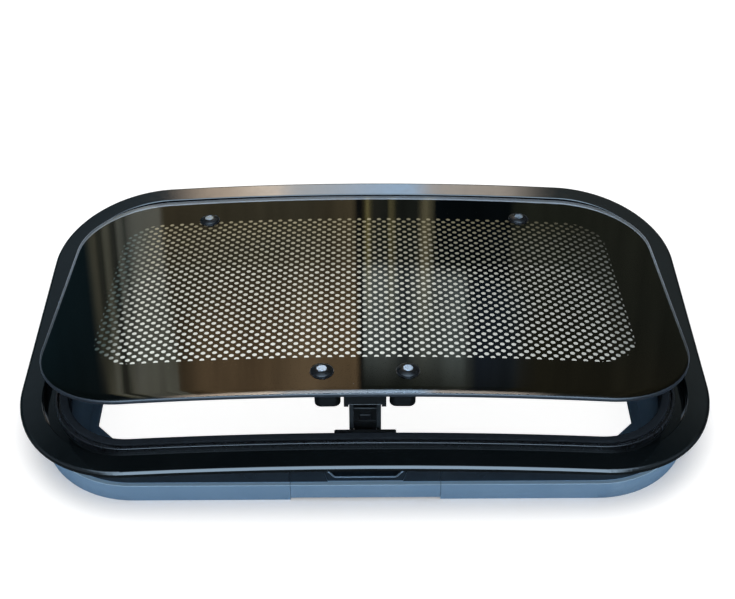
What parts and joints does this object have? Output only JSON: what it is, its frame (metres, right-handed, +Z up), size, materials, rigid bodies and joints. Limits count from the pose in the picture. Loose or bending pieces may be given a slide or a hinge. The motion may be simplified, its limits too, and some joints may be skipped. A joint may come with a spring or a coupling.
{
  "type": "vehicle sunroof",
  "caption": "Pop-up vehicle sunroof: crowned tinted glass on rear hinges, black outer frame and seal, blue-grey inner trim ring and a toggle latch",
  "frame": {"origin": "middle of the plan, at the underside of the inner trim ring", "axes": "+X along the length, -Y towards the latch side, +Y towards the hinges, +Z up out of the roof"},
  "size_m": [0.8, 0.5, 0.1489],
  "materials": {
    "frame_black": "glossy black moulded frame",
    "foam": "closed-cell foam",
    "seal_rubber": "satin black rubber",
    "trim_blue": "satin blue-grey moulding",
    "zinc": "bright zinc plate",
    "black_steel": "black powder coat",
    "bright_steel": "turned steel",
    "latch_black": "satin black moulding",
    "tinted_glass": "dark tinted safety glass with a clear dot field",
    "cap_black": "black moulded knob and cap",
    "button_black": "smooth black button"
  },
  "bodies": {
    "frame": {"outer_frame": "frame_black", "roof_gasket": "foam", "glass_seal": "seal_rubber", "trim_ring": "trim_blue", "trim_cove": "trim_blue", "rear_trim_cover": "trim_blue", "clamp_screws": "zinc", "trim_cover_screws": "zinc", "hinge_base_left": "black_steel", "hinge_base_right": "black_steel", "hinge_pin_left": "bright_steel", "hinge_pin_right": "bright_steel", "hinge_base_screws": "zinc", "latch_base": "latch_black", "latch_base_screws": "black_steel", "base_pin": "bright_steel"},
    "glass": {"glass_panel": "tinted_glass", "washer_caps": "cap_black", "cap_gaskets": "seal_rubber", "glass_studs": "bright_steel", "hinge_nuts": "zinc", "hinge_arm_left": "black_steel", "hinge_arm_right": "black_steel", "hinge_pad_left": "seal_rubber", "hinge_pad_right": "seal_rubber", "latch_bracket": "black_steel", "bracket_pad": "seal_rubber", "knob_left": "cap_black", "knob_right": "cap_black", "link_pin": "bright_steel"},
    "lever": {"latch_lever": "latch_black", "lever_pin": "bright_steel"},
    "link": {"latch_link": "latch_black"},
    "button": {"release_button": "button_black"}
  },
  "joints": [
    {"name": "glass_tilt", "type": "hinge", "parent": "frame", "child": "glass", "pos_m": [0, 0.209, 0.045], "axis": [1, 0, 0], "range_deg": [0, 9.4]},
    {"name": "lever_swing", "type": "hinge", "parent": "frame", "child": "lever", "pos_m": [0, -0.18, 0.037], "axis": [1, 0, 0], "range_deg": [-89.13, 0]},
    {"name": "link_fold", "type": "hinge", "parent": "glass", "child": "link", "pos_m": [0, -0.16591, 0.12227], "axis": [1, 0, 0], "range_deg": [0, 66.93]},
    {"name": "button_press", "type": "slide", "parent": "lever", "child": "button", "axis": [0, 1, 0], "range_m": [0, 0.0016], "stiffness_N_per_m": 600}
  ],
  "couplings": [
    {"joint": "lever_swing", "follows": "glass_tilt", "ratio": -9.477},
    {"joint": "link_fold", "follows": "glass_tilt", "ratio": 7.1152}
  ]
}
